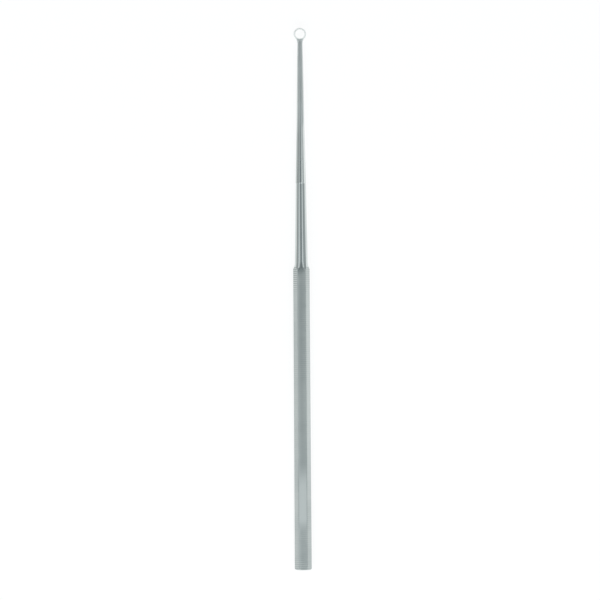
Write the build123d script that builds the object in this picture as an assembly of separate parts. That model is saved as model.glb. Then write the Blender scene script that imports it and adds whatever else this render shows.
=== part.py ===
from build123d import *
from math import atan, cos, degrees, pi, sqrt
import os

# Ring curette: one stainless steel bar with a hexagonal handle, a turned shank and a small round ring.
# It is drawn along +Y, with the butt end at Y = 0, the ring forwards and a handle facet facing up and down.

# Handle, in millimetres
handle_length = 91.4
flats_at_butt = 4.62
flats_at_shoulder = 4.46
long_edge_radius = 0.4
butt_edge_radius = 0.7
butt_dome_rise = 0.12

# Shank: three cones that follow each other from the handle to the neck
shoulder_radius = 6.0
root_diameter = 4.05
lower_cone_length = 26.4
lower_cone_end_diameter = 3.17
middle_cone_length = 18.9
middle_cone_end_diameter = 2.31
upper_cone_length = 18.6
upper_cone_end_diameter = 1.83
neck_cone_length = 4.8
neck_diameter = 1.58

# Ring at the tip, with an upright bore wall and an outer bevel that rises to a narrow scraping rim
ring_bore_radius = 1.45
ring_wall = 0.54
ring_height = 1.25
rim_land = 0.06
ring_foot_radius = 0.15
bore_foot_radius = 0.06
neck_to_ring_gap = 1.0
web_width = 2.5
web_height = 0.9

# Stations along the bar, counted from the butt end
lower_cone_end = handle_length + lower_cone_length
middle_cone_end = lower_cone_end + middle_cone_length
upper_cone_end = middle_cone_end + upper_cone_length
neck_end = upper_cone_end + neck_cone_length
ring_outer_radius = ring_bore_radius + ring_wall
ring_centre = neck_end + neck_to_ring_gap + ring_outer_radius

# Hexagon sizes that follow from the flats
half_flats_at_butt = flats_at_butt / 2
half_flats_at_shoulder = flats_at_shoulder / 2
corner_at_butt = half_flats_at_butt / cos(pi / 6)
corner_at_shoulder = half_flats_at_shoulder / cos(pi / 6)
facet_slope = (half_flats_at_butt - half_flats_at_shoulder) / handle_length


def facet_pair():
    """A wide slab between two opposite facets of the bar, which lean together towards the ring."""
    half_flats_at_neck = half_flats_at_butt - facet_slope * neck_end
    side_view = make_face(
        Polyline(
            (0, -half_flats_at_butt),
            (neck_end, -half_flats_at_neck),
            (neck_end, half_flats_at_neck),
            (0, half_flats_at_butt),
            close=True,
        )
    )
    return extrude(Plane.YZ * side_view, 2 * corner_at_butt, both=True)


def hexagonal_bar():
    """The tapering hexagonal bar that the whole piece is cut from, with its long edges rounded."""
    slab = facet_pair()
    bar = slab & Rot(Y=60) * slab & Rot(Y=120) * slab
    long_edges = [edge for edge in bar.edges() if edge.length > handle_length]
    return fillet(long_edges, long_edge_radius)


def shoulder_arc():
    """The hollow curve from the hexagon's corners down to the shank: its start, middle and end points.

    It is tangent to the lower cone and reaches the hexagon's corners at the end of the handle.
    """
    root = Vector(root_diameter / 2, handle_length)
    cone_end = Vector(lower_cone_end_diameter / 2, lower_cone_end)
    along = (root - cone_end).normalized()
    outward = Vector(-along.Y, along.X)
    corner = Vector(corner_at_shoulder, handle_length)
    height = (corner - root).dot(outward)
    run = sqrt(2 * shoulder_radius * height - height**2)
    tangent_point = root + along * ((corner - root).dot(along) - run)
    centre = tangent_point + outward * shoulder_radius
    towards_middle = ((corner + tangent_point) * 0.5 - centre).normalized()
    return corner, centre + towards_middle * shoulder_radius, tangent_point


def turned_form():
    """The solid of revolution that shapes the butt end, the shoulder, the three cones and the neck."""
    corner, arc_middle, arc_end = shoulder_arc()
    dome_edge = (corner_at_butt, butt_dome_rise)
    outline = [
        ThreePointArc((0, 0), (corner_at_butt / 2, butt_dome_rise / 4), dome_edge),
        Line(dome_edge, (corner.X, corner.Y)),
        ThreePointArc(corner, arc_middle, arc_end),
        Polyline(
            (arc_end.X, arc_end.Y),
            (lower_cone_end_diameter / 2, lower_cone_end),
            (middle_cone_end_diameter / 2, middle_cone_end),
            (upper_cone_end_diameter / 2, upper_cone_end),
            (neck_diameter / 2, neck_end),
            (0, neck_end),
            (0, 0),
        ),
    ]
    section = make_face(Curve() + outline)
    butt_corner = section.vertices().sort_by_distance(dome_edge)[0]
    return revolve(fillet(butt_corner, butt_edge_radius), Axis.Y)


def neck_web():
    """The neck's last stretch, which flattens and spreads as it runs into the ring's wall.

    It is drawn on into the bore, where it has its stated width and height, and is cut back there.
    """
    inside_bore = ring_centre - ring_bore_radius / 2
    neck_section = Plane.XZ.offset(-neck_end) * Circle(neck_diameter / 2)
    end_section = Plane.XZ.offset(-inside_bore) * Ellipse(web_width / 2, web_height / 2)
    return loft([neck_section, end_section])


def ring():
    """The round ring: an upright bore wall inside and a bevel outside, up to the narrow rim."""
    bottom = -ring_height / 2
    top = ring_height / 2
    section = make_face(
        Polyline(
            (ring_bore_radius, bottom),
            (ring_bore_radius + ring_wall, bottom),
            (ring_bore_radius + rim_land, top),
            (ring_bore_radius, top),
            close=True,
        )
    )
    outer_foot = section.vertices().sort_by_distance((ring_outer_radius, bottom))[0]
    section = fillet(outer_foot, ring_foot_radius)
    inner_foot = section.vertices().sort_by_distance((ring_bore_radius, bottom))[0]
    section = fillet(inner_foot, bore_foot_radius)
    return Pos(0, ring_centre, 0) * revolve(Plane.XZ * section, Axis.Z)


def curette():
    """The whole piece, laid on its lower handle facet and centred over the origin."""
    bar = hexagonal_bar() & turned_form()
    bore = Pos(0, ring_centre, 0) * Cylinder(ring_bore_radius, 2 * neck_diameter)
    piece = bar + (neck_web() - bore) + ring()
    laid_flat = Rot(X=-degrees(atan(facet_slope))) * piece
    box = laid_flat.bounding_box()
    return Pos(0, -box.center().Y, -box.min.Z) * laid_flat


os.makedirs("parts", exist_ok=True)
export_step(curette(), "parts/curette.step")
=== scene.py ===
import math

import bpy
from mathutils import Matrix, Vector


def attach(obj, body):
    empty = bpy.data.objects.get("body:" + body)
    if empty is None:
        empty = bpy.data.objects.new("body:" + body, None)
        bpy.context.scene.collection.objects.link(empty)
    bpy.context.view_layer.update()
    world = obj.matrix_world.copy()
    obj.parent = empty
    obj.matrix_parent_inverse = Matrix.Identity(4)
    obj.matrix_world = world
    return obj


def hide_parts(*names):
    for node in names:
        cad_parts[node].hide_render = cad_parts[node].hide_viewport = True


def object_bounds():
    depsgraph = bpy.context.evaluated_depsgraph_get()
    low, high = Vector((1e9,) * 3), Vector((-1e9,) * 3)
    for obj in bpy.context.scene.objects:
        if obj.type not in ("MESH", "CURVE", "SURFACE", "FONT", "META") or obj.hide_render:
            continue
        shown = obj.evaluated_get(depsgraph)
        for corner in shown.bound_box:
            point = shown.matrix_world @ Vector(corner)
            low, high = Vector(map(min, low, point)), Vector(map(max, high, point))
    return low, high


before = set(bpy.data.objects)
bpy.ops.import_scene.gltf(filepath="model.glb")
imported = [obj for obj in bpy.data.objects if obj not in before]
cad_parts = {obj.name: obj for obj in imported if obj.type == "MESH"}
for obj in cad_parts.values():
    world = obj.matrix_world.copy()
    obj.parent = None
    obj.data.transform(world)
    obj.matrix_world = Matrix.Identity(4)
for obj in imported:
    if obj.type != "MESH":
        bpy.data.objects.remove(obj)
cad_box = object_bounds()

# Handle. A hexagonal bar of stainless steel, slightly thicker at the butt end than at the shoulder.
# Its facets are linished across their length, which crowns them a little and softens the long edges.
# The whole instrument is cut from this one bar, and the next sections shape its shank and its ring.

MM = 0.001

handle_length = 91.4 * MM
half_flats_at_butt = 2.31 * MM
half_flats_at_shoulder = 2.23 * MM
facet_slope = (half_flats_at_butt - half_flats_at_shoulder) / handle_length
corner_at_butt = half_flats_at_butt / math.cos(math.pi / 6)
corner_at_shoulder = half_flats_at_shoulder / math.cos(math.pi / 6)
bar_end = 163.0 * MM
facet_crown = 0.12
facet_cuts = 8
long_edge_setback = 0.16 * MM
long_edge_segments = 5
corner_tolerance = 0.02 * MM
merge_distance = 0.0005 * MM


def start_outline(name, corners, radius, station=0.0, turn=0.0, fill="NOTHING"):
    """Adds an outline across the instrument's axis, and leaves it selected in edit mode."""
    bpy.ops.object.select_all(action="DESELECT")
    bpy.ops.mesh.primitive_circle_add(
        vertices=corners, radius=radius, fill_type=fill,
        location=(0, station, 0), rotation=(math.pi / 2, turn, 0),
    )
    piece = bpy.context.object
    piece.name = name
    piece.data.name = name
    bpy.ops.object.transform_apply(location=True, rotation=True, scale=True)
    bpy.ops.object.mode_set(mode="EDIT")
    bpy.ops.mesh.select_all(action="SELECT")
    return piece


def select_vertices(piece, wanted):
    """Goes into edit mode with only those vertices of a piece selected that are wanted."""
    bpy.ops.object.mode_set(mode="EDIT")
    bpy.ops.mesh.select_mode(type="VERT")
    bpy.ops.mesh.select_all(action="DESELECT")
    bpy.ops.object.mode_set(mode="OBJECT")
    for vertex in piece.data.vertices:
        vertex.select = wanted(vertex)
    bpy.ops.object.mode_set(mode="EDIT")


def close_piece():
    """Merges what lies on the same point, turns all faces outwards and leaves edit mode."""
    bpy.ops.mesh.select_all(action="SELECT")
    bpy.ops.mesh.remove_doubles(threshold=merge_distance)
    bpy.ops.mesh.normals_make_consistent(inside=False)
    bpy.ops.object.mode_set(mode="OBJECT")


# The hexagon's sides are crowned and its corners rounded, and it is brought back to its flats.
curette = start_outline("steel_curette", 6, corner_at_butt, turn=math.pi / 6)
bpy.ops.mesh.subdivide(number_cuts=facet_cuts)
bpy.ops.transform.tosphere(value=facet_crown)
bpy.ops.object.mode_set(mode="OBJECT")
crowned_half_flats = max(v.co.z for v in curette.data.vertices)
corner_reach = max(v.co.xz.length for v in curette.data.vertices)
select_vertices(curette, lambda v: v.co.xz.length > corner_reach - corner_tolerance)
bpy.ops.mesh.bevel(offset=long_edge_setback, segments=long_edge_segments, affect="VERTICES")
bpy.ops.mesh.select_all(action="SELECT")
fit = half_flats_at_butt / crowned_half_flats
bpy.ops.transform.resize(value=(fit, 1, fit), center_override=(0, 0, 0))

# It is drawn out into the bar, which tapers towards the ring.
bpy.ops.mesh.edge_face_add()
bpy.ops.mesh.extrude_region_move(TRANSFORM_OT_translate={"value": (0, bar_end, 0)})
taper = 1 - facet_slope * bar_end / half_flats_at_butt
bpy.ops.transform.resize(value=(taper, 1, taper), center_override=(0, bar_end, 0))
close_piece()

# Butt end, shoulder and shank. They are turned on the bar: a nearly flat butt end with a rounded corner,
# a hollow curve that runs out in an arch on each facet, and three long cones that meet at faint ridges.
# The shank ends in a short neck, hammered a little flatter and wider where it runs into the ring.

turned_corners = 160
butt_middle_radius = 0.3 * MM
butt_dome_rise = 0.12 * MM
butt_edge_radius = 0.7 * MM
shoulder_radius = 6.0 * MM
shank_root_radius = 2.025 * MM
lower_cone_end, lower_cone_end_radius = 117.8 * MM, 1.585 * MM
middle_cone_end, middle_cone_end_radius = 136.7 * MM, 1.155 * MM
upper_cone_end, upper_cone_end_radius = 155.3 * MM, 0.915 * MM
neck_end, neck_radius = 160.1 * MM, 0.79 * MM
cone_edge_band = 0.1 * MM
ridge_length = 0.2 * MM
lower_ridge_height, upper_ridge_height = 0.045 * MM, 0.015 * MM
ridge_shares = (0.15, 0.5, 0.85, 1.0)
web_end = 162.0 * MM
web_half_width = 1.17 * MM
web_half_height = 0.48 * MM
web_easing = 0.12
dome_steps, butt_edge_steps, shoulder_steps, web_steps = 8, 10, 12, 14

last_loop = {"station": 0.0, "half_width": butt_middle_radius, "half_height": butt_middle_radius}


def turn_to(station, half_width, half_height=None):
    """Extrudes the open end of the turned form to its next station and size."""
    half_height = half_width if half_height is None else half_height
    bpy.ops.mesh.extrude_region_move(
        TRANSFORM_OT_translate={"value": (0, station - last_loop["station"], 0)}
    )
    bpy.ops.transform.resize(
        value=(half_width / last_loop["half_width"], 1, half_height / last_loop["half_height"]),
        center_override=(0, station, 0),
    )
    last_loop.update(station=station, half_width=half_width, half_height=half_height)


# The butt end: a shallow dome, then a quarter round up to the size of the bar's sharp corners.
dome_slope = 2 * butt_dome_rise * (corner_at_butt - butt_edge_radius) / corner_at_butt**2
dome_edge = corner_at_butt - butt_edge_radius + butt_edge_radius * math.sin(dome_slope)
round_centre = butt_dome_rise * (dome_edge / corner_at_butt) ** 2 + butt_edge_radius * math.cos(dome_slope)
turned_form = start_outline("turned_form", turned_corners, butt_middle_radius, fill="NGON")
for step in range(1, dome_steps + 1):
    radius = dome_edge * step / dome_steps
    turn_to(butt_dome_rise * (radius / corner_at_butt) ** 2, radius)
for step in range(1, butt_edge_steps + 1):
    swing = dome_slope + (math.pi / 2 - dome_slope) * step / butt_edge_steps
    turn_to(
        round_centre - butt_edge_radius * math.cos(swing),
        corner_at_butt - butt_edge_radius + butt_edge_radius * math.sin(swing),
    )

# The shoulder's hollow curve, from the bar's sharp corners down to where it touches the lower cone.
lower_cone_lean = math.atan((shank_root_radius - lower_cone_end_radius) / (lower_cone_end - handle_length))
depth_of_curve = (corner_at_shoulder - shank_root_radius) * math.cos(lower_cone_lean)
shoulder_swing = math.acos(1 - depth_of_curve / shoulder_radius)
curve_centre = handle_length + shoulder_radius * math.sin(lower_cone_lean + shoulder_swing)
curve_height = corner_at_shoulder + shoulder_radius * math.cos(lower_cone_lean + shoulder_swing)
for step in range(shoulder_steps + 1):
    swing = lower_cone_lean + shoulder_swing * (1 - step / shoulder_steps)
    turn_to(
        curve_centre - shoulder_radius * math.sin(swing),
        curve_height - shoulder_radius * math.cos(swing),
    )

# The cones. Each next cone starts a hair thicker than the last one ends, which leaves a faint ridge.
for end, end_radius, ridge_height in (
    (lower_cone_end, lower_cone_end_radius, lower_ridge_height),
    (middle_cone_end, middle_cone_end_radius, upper_ridge_height),
    (upper_cone_end, upper_cone_end_radius, 0.0),
    (neck_end, neck_radius, 0.0),
):
    start, start_radius = last_loop["station"], last_loop["half_width"]
    end_radius -= ridge_height / 2
    cone_stop = end - ridge_length if ridge_height else end
    cone_length = cone_stop - start
    for share in (cone_edge_band / cone_length, 0.33, 0.66, 1 - cone_edge_band / cone_length, 1):
        turn_to(start + cone_length * share, start_radius + (end_radius - start_radius) * share)
    if ridge_height:
        for share in ridge_shares:
            turn_to(
                cone_stop + ridge_length * share,
                end_radius + ridge_height * share * share * (3 - 2 * share),
            )

# The neck's last stretch eases into a flat oval, which the bore cuts back before the ring is joined on.
for step in range(1, web_steps + 1):
    share = step / web_steps
    hammered = (1 + web_easing) * share * share / (share + web_easing)
    turn_to(
        neck_end + (web_end - neck_end) * share,
        neck_radius + (web_half_width - neck_radius) * hammered,
        neck_radius + (web_half_height - neck_radius) * hammered,
    )
close_piece()

# Ring. A small open ring stands across the tip, with an upright bore wall and a bevel outside that
# rises to a narrow scraping rim. It is one steel with the neck, whose end runs into its wall, and
# its foot and rim are stoned just enough to take the burr off.

ring_centre = 163.09 * MM
ring_corners = 192
bore_radius = 1.45 * MM
ring_wall = 0.53 * MM
ring_half_height = 0.625 * MM
rim_land = 0.06 * MM
rim_round, rim_steps = 0.02 * MM, 3
foot_round, foot_steps = 0.15 * MM, 6
bore_foot_round, bore_foot_steps = 0.06 * MM, 3
neck_cut_clearance = 0.05 * MM
cutter_height = 4.0 * MM

ring = start_outline("ring", ring_corners, bore_radius)
bpy.ops.object.mode_set(mode="OBJECT")
ring.rotation_euler = (math.pi / 2, 0, 0)
ring.location = (0, ring_centre, ring_half_height)
bpy.ops.object.transform_apply(location=True, rotation=True, scale=True)
bpy.ops.object.mode_set(mode="EDIT")
bpy.ops.mesh.select_all(action="SELECT")
wall_point = {"radius": bore_radius, "height": ring_half_height}


def sweep_to(radius, height):
    """Extrudes the ring's open loop to the next point of its section."""
    bpy.ops.mesh.extrude_region_move(
        TRANSFORM_OT_translate={"value": (0, 0, height - wall_point["height"])}
    )
    grown = radius / wall_point["radius"]
    bpy.ops.transform.resize(value=(grown, grown, 1), center_override=(0, ring_centre, height))
    wall_point.update(radius=radius, height=height)


# The loop goes once round the section: over the rim, down the bevel, round the foot and up the bore wall.
bevel_lean = math.atan((ring_wall - rim_land) / (2 * ring_half_height))
sweep_to(bore_radius + rim_land - rim_round, ring_half_height)
for step in range(1, rim_steps + 1):
    swing = (math.pi / 2 - bevel_lean) * step / rim_steps
    sweep_to(
        bore_radius + rim_land - rim_round + rim_round * math.sin(swing),
        ring_half_height - rim_round + rim_round * math.cos(swing),
    )
foot_height = foot_round * (1 + math.sin(bevel_lean))
foot_reach = ring_wall - foot_height * math.tan(bevel_lean)
foot_middle = bore_radius + foot_reach - foot_round * math.cos(bevel_lean)
for step in range(foot_steps + 1):
    swing = math.pi / 2 - bevel_lean + (math.pi / 2 + bevel_lean) * step / foot_steps
    sweep_to(
        foot_middle + foot_round * math.sin(swing),
        -ring_half_height + foot_round + foot_round * math.cos(swing),
    )
for step in range(bore_foot_steps + 1):
    swing = math.pi / 2 * step / bore_foot_steps
    sweep_to(
        bore_radius + bore_foot_round * (1 - math.sin(swing)),
        -ring_half_height + bore_foot_round * (1 - math.cos(swing)),
    )
sweep_to(bore_radius, ring_half_height - rim_round)
sweep_to(bore_radius, ring_half_height)
close_piece()


def cut_with(piece, operation, cutter):
    """Joins, cuts or trims a piece with another one, which is then thrown away."""
    bpy.ops.object.select_all(action="DESELECT")
    bpy.context.view_layer.objects.active = piece
    piece.select_set(True)
    trim = piece.modifiers.new(operation.lower(), "BOOLEAN")
    trim.operation = operation
    trim.solver = "EXACT"
    trim.object = cutter
    bpy.ops.object.modifier_apply(modifier=trim.name)
    bpy.data.objects.remove(cutter)


# The bore is cut a hair wider through the neck's end, which leaves the ring's own bore wall whole.
cut_with(curette, "INTERSECT", turned_form)
bpy.ops.object.select_all(action="DESELECT")
bpy.ops.mesh.primitive_cylinder_add(
    vertices=ring_corners, radius=bore_radius + neck_cut_clearance, depth=cutter_height,
    location=(0, ring_centre, 0),
)
cut_with(curette, "DIFFERENCE", bpy.context.object)
cut_with(curette, "UNION", ring)

# Laid down and finished. The instrument rests on its lower handle facet, and the taper of the handle
# tips it by a twentieth of a degree. The facets have a satin cross grain and all that was turned is
# polished, and only the edges that the tools left between them stay sharp.

box_clearance = 0.001 * MM
smoothing_angle = math.radians(12)

bpy.ops.object.select_all(action="DESELECT")
curette.select_set(True)
bpy.context.view_layer.objects.active = curette
curette.rotation_euler = (-math.atan(facet_slope), 0, 0)
bpy.ops.object.transform_apply(location=True, rotation=True, scale=True)
butt_station = min(v.co.y for v in curette.data.vertices)
lowest = min(v.co.z for v in curette.data.vertices)
curette.location = (0, cad_box[0][1] + box_clearance - butt_station, -lowest)
bpy.ops.object.transform_apply(location=True, rotation=True, scale=True)
bpy.ops.object.shade_smooth_by_angle(angle=smoothing_angle)

falling = (1.0, 0.0)


def new_group(name, inputs, outputs):
    """Makes an empty shader node group with named inputs and outputs."""
    group = bpy.data.node_groups.new(name, "ShaderNodeTree")
    for socket_name, value in inputs:
        socket = group.interface.new_socket(socket_name, in_out="INPUT", socket_type="NodeSocketFloat")
        socket.default_value = value
    for socket_name in outputs:
        group.interface.new_socket(socket_name, in_out="OUTPUT", socket_type="NodeSocketFloat")
    return group, group.nodes.new("NodeGroupInput"), group.nodes.new("NodeGroupOutput")


def calculate(tree, operation, first, second=0.0, third=0.0):
    """Adds one calculation, on sockets or plain numbers, and gives its result."""
    node = tree.nodes.new("ShaderNodeMath")
    node.operation = operation
    for place_in_node, term in enumerate((first, second, third)):
        if isinstance(term, (int, float)):
            node.inputs[place_in_node].default_value = term
        else:
            tree.links.new(term, node.inputs[place_in_node])
    return node.outputs[0]


def product(tree, first, *others):
    """Multiplies masks and values with each other."""
    result = first
    for other in others:
        result = calculate(tree, "MULTIPLY", result, other)
    return result


def opposite(tree, mask):
    """Turns a mask over, so that it is full where it was empty."""
    return calculate(tree, "SUBTRACT", 1.0, mask)


def split_place(tree):
    """Gives the object's own X, Y and Z at the shaded point."""
    coordinates = tree.nodes.new("ShaderNodeTexCoord")
    split = tree.nodes.new("ShaderNodeSeparateXYZ")
    tree.links.new(coordinates.outputs["Object"], split.inputs[0])
    return split.outputs


def fade(tree, source, span, values=(0.0, 1.0)):
    """Goes smoothly from the first value to the second while the source crosses the span."""
    node = tree.nodes.new("ShaderNodeMapRange")
    node.interpolation_type = "SMOOTHSTEP"
    tree.links.new(source, node.inputs["Value"])
    for socket_name, value in zip(("From Min", "From Max", "To Min", "To Max"), (*span, *values)):
        node.inputs[socket_name].default_value = value
    return node.outputs["Result"]


def add_noise(tree, vector, scale, detail, roughness=0.5):
    """Adds a cloudy pattern and gives its grey value."""
    noise = tree.nodes.new("ShaderNodeTexNoise")
    noise.inputs["Scale"].default_value = scale
    noise.inputs["Detail"].default_value = detail
    noise.inputs["Roughness"].default_value = roughness
    tree.links.new(vector, noise.inputs["Vector"])
    return noise.outputs["Fac"]


# Cross grain: fine scratches across the axis, wider tool marks at an even pitch that come and go
# along the piece, and slow patches. It works on the object's own coordinates.
line_detail, line_roughness = 4.0, 0.6
mark_stretches_per_metre, mark_stretch_detail = 160.0, 1.0
patches_per_metre, patch_detail = 110.0, 3.0
marks_show, patches_show = (0.45, 0.68), (0.3, 0.7)

cross_grain, given, out = new_group(
    "cross_grain",
    [("Lines per mm", 3.0), ("Line length mm", 3.0), ("Mark pitch mm", 0.6)],
    ["Lines", "Marks", "Even marks", "Patches"],
)
place = split_place(cross_grain)
lines_per_metre = product(cross_grain, given.outputs["Lines per mm"], 1 / MM)
lengths_per_metre = calculate(cross_grain, "DIVIDE", 1 / MM, given.outputs["Line length mm"])
stretched = cross_grain.nodes.new("ShaderNodeCombineXYZ")
for axis, repeats in (("X", lengths_per_metre), ("Y", lines_per_metre), ("Z", lengths_per_metre)):
    cross_grain.links.new(product(cross_grain, place[axis], repeats), stretched.inputs[axis])
lines = add_noise(cross_grain, stretched.outputs[0], 1, line_detail, line_roughness)
cross_grain.links.new(lines, out.inputs["Lines"])

turns_per_metre = calculate(cross_grain, "DIVIDE", 2 * math.pi / MM, given.outputs["Mark pitch mm"])
marks = calculate(cross_grain, "SINE", product(cross_grain, place["Y"], turns_per_metre))
coordinates = cross_grain.nodes.new("ShaderNodeTexCoord").outputs["Object"]
come_and_go = add_noise(cross_grain, coordinates, mark_stretches_per_metre, mark_stretch_detail)
marked = fade(cross_grain, come_and_go, marks_show)
cross_grain.links.new(product(cross_grain, marks, marked), out.inputs["Marks"])
cross_grain.links.new(marks, out.inputs["Even marks"])

patches = add_noise(cross_grain, coordinates, patches_per_metre, patch_detail)
cross_grain.links.new(fade(cross_grain, patches, patches_show), out.inputs["Patches"])


def start_steel(name, lines_per_mm, line_length_mm, mark_pitch_mm):
    """Starts a steel material with its own cross grain."""
    material = bpy.data.materials.new(name)
    material.use_nodes = True
    tree = material.node_tree
    surface = tree.nodes["Principled BSDF"]
    surface.inputs["Metallic"].default_value = 1.0
    grain = tree.nodes.new("ShaderNodeGroup")
    grain.node_tree = cross_grain
    grain.inputs["Lines per mm"].default_value = lines_per_mm
    grain.inputs["Line length mm"].default_value = line_length_mm
    grain.inputs["Mark pitch mm"].default_value = mark_pitch_mm
    return material, tree, surface, grain.outputs


def blend_colours(tree, share, first, second):
    """Goes from one colour to another, each a socket or a plain colour."""
    node = tree.nodes.new("ShaderNodeMix")
    node.data_type = "RGBA"
    tree.links.new(share, node.inputs["Factor"])
    for socket_name, colour in (("A", first), ("B", second)):
        if isinstance(colour, tuple):
            node.inputs[socket_name].default_value = colour
        else:
            tree.links.new(colour, node.inputs[socket_name])
    return node.outputs["Result"]


def add_relief(tree, height, distance, surface):
    """Lets a height stand up from the surface as fine relief."""
    bump = tree.nodes.new("ShaderNodeBump")
    bump.inputs["Strength"].default_value = 1.0
    bump.inputs["Distance"].default_value = distance
    tree.links.new(height, bump.inputs["Height"])
    tree.links.new(bump.outputs["Normal"], surface.inputs["Normal"])


# Satin facets. The shoulder's polish runs out on them, the tool marks are strongest in front on the side
# facets and at the butt end, and the upper facet has a rubbed, rougher patch, which starts slowly and
# stops short. Painted light makes that patch, the upper facet's left edge and the right facet paler, and
# painted shade darkens the upper facet towards the shoulder. Each pair of numbers is the span that a mask
# changes over, or the values it changes between.
dark_satin = (0.50, 0.55, 0.545, 1)
light_satin = (0.60, 0.645, 0.635, 1)
# Painted light: this paler satin is laid on where the facets should look lighter.
lit_satin = (0.745, 0.79, 0.78, 1)
shaded_satin = (0.42, 0.46, 0.455, 1)
groove_satin = (0.36, 0.40, 0.395, 1)

upper_facet_height = (4.2 * MM, 4.4 * MM)
upper_facet_edge = (0.95 * MM, 1.3 * MM)
patch_front = (-58.0 * MM, -48.5 * MM)
patch_back = (-71.5 * MM, -66.5 * MM)
axis_height = 2.25 * MM
arch_rise = 2.75
polish_runs_out = (12.4 * MM, 15.9 * MM)
polish_width, polish_values = (0.3 * MM, 1.1 * MM), (1.0, 0.35)
left_edge = (-1.45 * MM, -1.3 * MM)
left_edge_width, left_edge_values = (-1.3 * MM, -0.1 * MM), (0.5, 0.0)
right_facet_edge = (1.3 * MM, 1.6 * MM)
right_facet_length, right_facet_values = (-78.0 * MM, -40.0 * MM), (-0.1, 0.35)
shoulder_shade_length, shoulder_shade_length_values = (-70.0 * MM, -25.0 * MM), (0.0, 0.4)
shoulder_shade_width, shoulder_shade_width_values = (-0.2 * MM, 1.0 * MM), (1.0, 0.2)
front_chatter_length = (1.5 * MM, 5.5 * MM)
front_chatter_width, front_chatter_values = (-1.5 * MM, 1.5 * MM), (1.7, 0.8)
butt_chatter_length, butt_chatter_values = (-81.0 * MM, -77.5 * MM), (0.7, 0.0)
butt_chatter_width = (-0.6 * MM, 0.7 * MM)
groove_span, groove_strength = (-0.9, 0.1), 0.45
mark_shade, line_shade = 0.6, 1.2
satin_roughness, satin_patch_roughness = 0.45, 0.06
rubbed_roughness, run_out_roughness = 0.1, -0.27
mark_relief, satin_relief = 0.5, 0.006 * MM

satin_steel, tree, surface, grain = start_steel(
    "satin_steel", lines_per_mm=3.5, line_length_mm=4.0, mark_pitch_mm=0.61
)
place = split_place(tree)
facing_up = fade(tree, place["Z"], upper_facet_height)
off_axis = calculate(tree, "ABSOLUTE", place["X"])
on_upper_facet = product(tree, fade(tree, off_axis, upper_facet_edge, falling), facing_up)
# The upper facet's rubbed patch is rougher, and painted light makes it paler.
along_patch = product(
    tree, fade(tree, place["Y"], patch_front, falling), fade(tree, place["Y"], patch_back)
)
lit_rubbed_patch = product(tree, on_upper_facet, along_patch)

height = calculate(tree, "SUBTRACT", place["Z"], axis_height)
x_squared = product(tree, place["X"], place["X"])
from_axis = calculate(tree, "SQRT", calculate(tree, "MULTIPLY_ADD", height, height, x_squared))
arch_reach = calculate(tree, "MULTIPLY_ADD", from_axis, arch_rise, place["Y"])
run_out = product(
    tree, fade(tree, arch_reach, polish_runs_out),
    product(tree, facing_up, fade(tree, place["X"], polish_width, polish_values)),
)

# Painted light along the upper facet's left edge, which makes it paler.
lit_left_edge = product(
    tree, fade(tree, place["X"], left_edge), fade(tree, place["X"], left_edge_width, left_edge_values),
    product(tree, facing_up, opposite(tree, along_patch)),
)
# Painted light on the right facet, which makes it paler along part of the handle.
lit_right_facet = product(
    tree, fade(tree, place["X"], right_facet_edge),
    fade(tree, place["Y"], right_facet_length, right_facet_values),
)
# Painted shade on the upper facet, darker towards the shoulder.
shaded_towards_shoulder = product(
    tree, fade(tree, place["Y"], shoulder_shade_length, shoulder_shade_length_values),
    fade(tree, place["X"], shoulder_shade_width, shoulder_shade_width_values), on_upper_facet,
)
front_chatter = product(
    tree, fade(tree, place["Y"], front_chatter_length),
    fade(tree, place["X"], front_chatter_width, front_chatter_values), opposite(tree, facing_up),
)
butt_chatter = product(
    tree, fade(tree, place["Y"], butt_chatter_length, butt_chatter_values),
    fade(tree, place["X"], butt_chatter_width, falling),
)
chatter = calculate(tree, "ADD", front_chatter, butt_chatter)
grooves = product(
    tree, fade(tree, grain["Even marks"], groove_span, falling), chatter, groove_strength
)

shade = calculate(tree, "MULTIPLY_ADD", grain["Marks"], mark_shade, grain["Patches"])
shade = calculate(
    tree, "MULTIPLY_ADD", calculate(tree, "SUBTRACT", grain["Lines"], 0.5), line_shade, shade
)
shade = calculate(tree, "MULTIPLY_ADD", grain["Even marks"], chatter, shade)
colour = blend_colours(tree, shade, dark_satin, light_satin)
colour = blend_colours(tree, shaded_towards_shoulder, colour, shaded_satin)
colour = blend_colours(tree, grooves, colour, groove_satin)
colour = blend_colours(tree, lit_left_edge, colour, lit_satin)
colour = blend_colours(tree, lit_right_facet, colour, lit_satin)
colour = blend_colours(tree, lit_rubbed_patch, colour, lit_satin)
tree.links.new(colour, surface.inputs["Base Color"])

dullness = calculate(tree, "MULTIPLY_ADD", grain["Patches"], satin_patch_roughness, satin_roughness)
dullness = calculate(tree, "MULTIPLY_ADD", lit_rubbed_patch, rubbed_roughness, dullness)
dullness = calculate(tree, "MULTIPLY_ADD", run_out, run_out_roughness, dullness)
tree.links.new(dullness, surface.inputs["Roughness"])
relief = calculate(tree, "MULTIPLY_ADD", grain["Marks"], mark_relief, grain["Lines"])
add_relief(tree, product(tree, relief, opposite(tree, run_out)), satin_relief, surface)

# Polished shank and ring. The lower cone is the brightest, with a shaded band painted along each flank.
# From the first ridge on the polish is coarser, and the middle cone has a painted highlight on its right
# side and painted shade on its left one. The end of the neck and the ring are duller, and painted light
# makes them paler.
dark_polish = (0.655, 0.70, 0.69, 1)
light_polish = (0.70, 0.75, 0.74, 1)
# Painted light and shade: a highlight for the middle cone's right side, shade for its left side and the
# lower cone's flanks, and a paler tip.
painted_highlight_colour = (0.88, 0.92, 0.90, 1)
painted_shade_colour = (0.52, 0.56, 0.55, 1)
shaded_side = (0.47, 0.51, 0.50, 1)
painted_light_tip = (0.86, 0.90, 0.89, 1)

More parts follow.
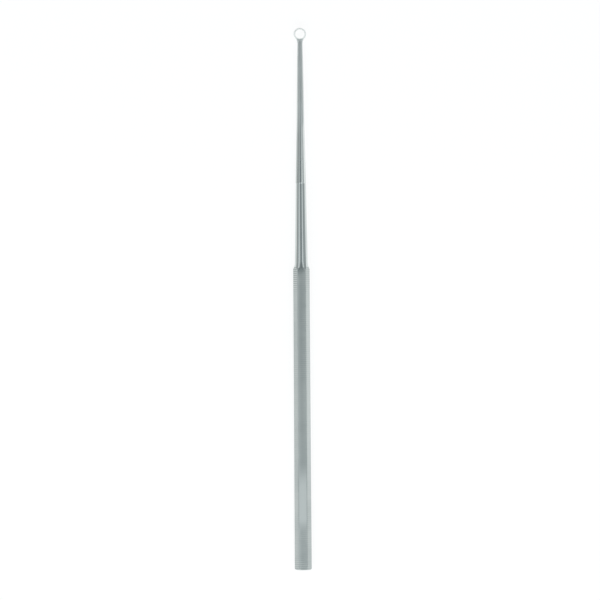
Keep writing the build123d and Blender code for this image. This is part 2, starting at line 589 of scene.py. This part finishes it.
first_ridge, second_ridge = 35.15 * MM, 54.1 * MM
lower_cone_radius_at_origin, lower_cone_slope = 2.15 * MM, -0.0163
band_offset = 0.12 * MM
band_inner_edge, band_outer_edge = (0.60, 0.68), (0.76, 0.86)
band_length, band_values = (11.0 * MM, 17.0 * MM), (1.0, 0.5)
middle_cone_radius_at_origin, middle_cone_slope = 2.388 * MM, -0.02275
bright_length = (second_ridge - 2.6 * MM, second_ridge)
bright_width, bright_values = (0.1 * MM, 0.5 * MM), (0.0, 0.9)
bright_outline, bright_outline_values = (0.75, 0.95), (1.0, 0.1)
left_shade_length = (second_ridge - 7.0 * MM, second_ridge + 6.0 * MM)
left_shade_width, left_shade_values = (-0.1 * MM, 0.2 * MM), (0.8, 0.0)
left_shade_outline, left_shade_outline_values = (0.9, 1.0), (1.0, 0.3)
tip_length = (77.4 * MM, 78.9 * MM)
polish_roughness, polish_patch_roughness = 0.09, 0.03
middle_roughness, upper_roughness, tip_roughness = 0.13, 0.10, 0.26
coarser_relief, polish_relief = 3.0, 0.0008 * MM

polished_steel, tree, surface, grain = start_steel(
    "polished_steel", lines_per_mm=8.0, line_length_mm=30.0, mark_pitch_mm=0.9
)
place = split_place(tree)
past_first_ridge = fade(
    tree, place["Y"], (first_ridge - ridge_length / 2, first_ridge + ridge_length / 2)
)
towards_second_ridge = fade(tree, place["Y"], (first_ridge, second_ridge))
at_tip = fade(tree, place["Y"], tip_length)

middle_cone_radius = calculate(
    tree, "MULTIPLY_ADD", place["Y"], middle_cone_slope, middle_cone_radius_at_origin
)
round_the_middle = calculate(
    tree, "DIVIDE", calculate(tree, "ABSOLUTE", place["X"]), middle_cone_radius
)
# Painted highlight on the middle cone's right side.
highlit_right_side = product(
    tree, past_first_ridge, fade(tree, place["Y"], bright_length, falling),
    fade(tree, place["X"], bright_width, bright_values),
    fade(tree, round_the_middle, bright_outline, bright_outline_values),
)
# Painted shade on the middle cone's left side.
shaded_left_side = product(
    tree, past_first_ridge, fade(tree, place["Y"], left_shade_length, falling),
    fade(tree, place["X"], left_shade_width, left_shade_values),
    fade(tree, round_the_middle, left_shade_outline, left_shade_outline_values),
)
lower_cone_radius = calculate(
    tree, "MULTIPLY_ADD", place["Y"], lower_cone_slope, lower_cone_radius_at_origin
)
off_middle = calculate(tree, "ABSOLUTE", calculate(tree, "ADD", place["X"], band_offset))
round_the_lower = calculate(tree, "DIVIDE", off_middle, lower_cone_radius)
shaded = product(
    tree, fade(tree, round_the_lower, band_inner_edge),
    fade(tree, round_the_lower, band_outer_edge, falling),
    fade(tree, place["Y"], band_length, band_values), opposite(tree, past_first_ridge),
)

colour = blend_colours(tree, grain["Patches"], dark_polish, light_polish)
colour = blend_colours(tree, highlit_right_side, colour, painted_highlight_colour)
colour = blend_colours(tree, shaded_left_side, colour, painted_shade_colour)
colour = blend_colours(tree, shaded, colour, shaded_side)
# Painted light makes the end of the neck and the ring paler.
colour = blend_colours(tree, at_tip, colour, painted_light_tip)
tree.links.new(colour, surface.inputs["Base Color"])

dullness = calculate(tree, "MULTIPLY_ADD", grain["Patches"], polish_patch_roughness, polish_roughness)
dullness = calculate(tree, "MULTIPLY_ADD", past_first_ridge, middle_roughness, dullness)
dullness = calculate(tree, "MULTIPLY_ADD", towards_second_ridge, upper_roughness, dullness)
dullness = calculate(tree, "MULTIPLY_ADD", at_tip, tip_roughness, dullness)
tree.links.new(dullness, surface.inputs["Roughness"])
coarseness = calculate(tree, "MULTIPLY_ADD", past_first_ridge, coarser_relief, 1.0)
add_relief(tree, product(tree, grain["Lines"], coarseness), polish_relief, surface)

# The shoulder's turned faces lean along the axis, and from the shank on every face is a turned one.
shoulder_front = 8.85 * MM
shank_start = 10.5 * MM
turned_lean = 0.1

curette.data.materials.clear()
curette.data.materials.append(satin_steel)
curette.data.materials.append(polished_steel)
for face in curette.data.polygons:
    turned = face.center.y > shoulder_front and abs(face.normal.y) > turned_lean
    face.material_index = 1 if turned or face.center.y > shank_start else 0

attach(curette, "root")
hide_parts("curette")

# Table, light and camera. A plain white table top, soft light from two long panels beside the camera and
# a wide one on the butt end's side, and an even grey studio that is a little darker straight overhead.

table_size = 3.0
table_paint = (0.3, 0.3, 0.3, 1)
table_glow = 0.82

bpy.ops.object.select_all(action="DESELECT")
bpy.ops.mesh.primitive_plane_add(size=table_size, location=(0, 0, 0))
table = bpy.context.object
table.name = "table"
white_top = bpy.data.materials.new("white_table_top")
white_top.use_nodes = True
tree = white_top.node_tree
tree.nodes.remove(tree.nodes["Principled BSDF"])
paint = tree.nodes.new("ShaderNodeBsdfDiffuse")
paint.inputs["Color"].default_value = table_paint
glow = tree.nodes.new("ShaderNodeEmission")
seen = tree.nodes.new("ShaderNodeLightPath").outputs
straight_or_mirrored = calculate(tree, "MAXIMUM", seen["Is Camera Ray"], seen["Is Glossy Ray"])
shown = calculate(tree, "MAXIMUM", straight_or_mirrored, seen["Is Transmission Ray"])
tree.links.new(product(tree, shown, table_glow), glow.inputs["Strength"])
both = tree.nodes.new("ShaderNodeAddShader")
tree.links.new(paint.outputs[0], both.inputs[0])
tree.links.new(glow.outputs[0], both.inputs[1])
tree.links.new(both.outputs[0], tree.nodes["Material Output"].inputs["Surface"])
table.data.materials.append(white_top)

overhead_strength = 0.29
horizon_gain = 0.40
horizon_falloff = 2.0
far_side_loss = -0.14
right_side_gain = 0.14
overhead_tint = (0.90, 1.0, 1.035, 1)
horizon_tint = (1.0, 1.0, 1.0, 1)

world = bpy.data.worlds.new("studio")
bpy.context.scene.world = world
world.use_nodes = True
tree = world.node_tree
background = tree.nodes["Background"]
direction = tree.nodes.new("ShaderNodeTexCoord")
split = tree.nodes.new("ShaderNodeSeparateXYZ")
tree.links.new(direction.outputs["Generated"], split.inputs[0])
above = calculate(tree, "MAXIMUM", split.outputs["Z"], 0.0)
low_down = calculate(tree, "POWER", opposite(tree, above), horizon_falloff)
gain = calculate(tree, "MULTIPLY_ADD", split.outputs["X"], right_side_gain, horizon_gain)
strength = calculate(tree, "MULTIPLY_ADD", low_down, gain, overhead_strength)
strength = calculate(tree, "MULTIPLY_ADD", split.outputs["Y"], far_side_loss, strength)
tree.links.new(strength, background.inputs["Strength"])
tree.links.new(blend_colours(tree, low_down, overhead_tint, horizon_tint), background.inputs["Color"])


def add_panel(name, lean, pitch, splay, offset, energy, width, length, distance):
    """Hangs a soft panel at a distance in metres, with its three angles in degrees.

    It leans to the right of overhead, pitches back towards the butt end and is splayed about the upright.
    """
    light = bpy.data.lights.new(name, "AREA")
    light.shape = "RECTANGLE"
    light.size = width
    light.size_y = length
    light.energy = energy
    panel = bpy.data.objects.new(name, light)
    bpy.context.scene.collection.objects.link(panel)
    lean, pitch = math.radians(lean), math.radians(pitch)
    height = distance * math.cos(lean + pitch)
    panel.location = (distance * math.sin(lean), offset - distance * math.sin(pitch), height)
    panel.rotation_euler = (pitch, lean, math.radians(splay))


add_panel(
    "left_panel", lean=-38, pitch=0, splay=18, offset=0.15,
    energy=0.66, width=0.34, length=1.5, distance=0.6,
)
add_panel(
    "right_panel", lean=29, pitch=0, splay=-18, offset=0.15,
    energy=0.55, width=0.25, length=1.5, distance=0.6,
)
add_panel(
    "near_panel", lean=0, pitch=43, splay=0, offset=0,
    energy=1.15, width=0.9, length=0.5, distance=0.7,
)

camera_height = 1.5
camera_shift_right, camera_shift_forwards = -0.478 * MM, -0.335 * MM
camera_turn = -0.0064

camera_data = bpy.data.cameras.new("camera")
camera_data.sensor_width = 36.0
camera_data.lens = 295.4
camera_data.clip_end = 10.0
camera = bpy.data.objects.new("camera", camera_data)
bpy.context.scene.collection.objects.link(camera)
camera.location = (camera_shift_right, camera_shift_forwards, camera_height)
camera.rotation_euler = (0, 0, camera_turn)
bpy.context.scene.camera = camera
bpy.context.scene.view_settings.view_transform = "Standard"
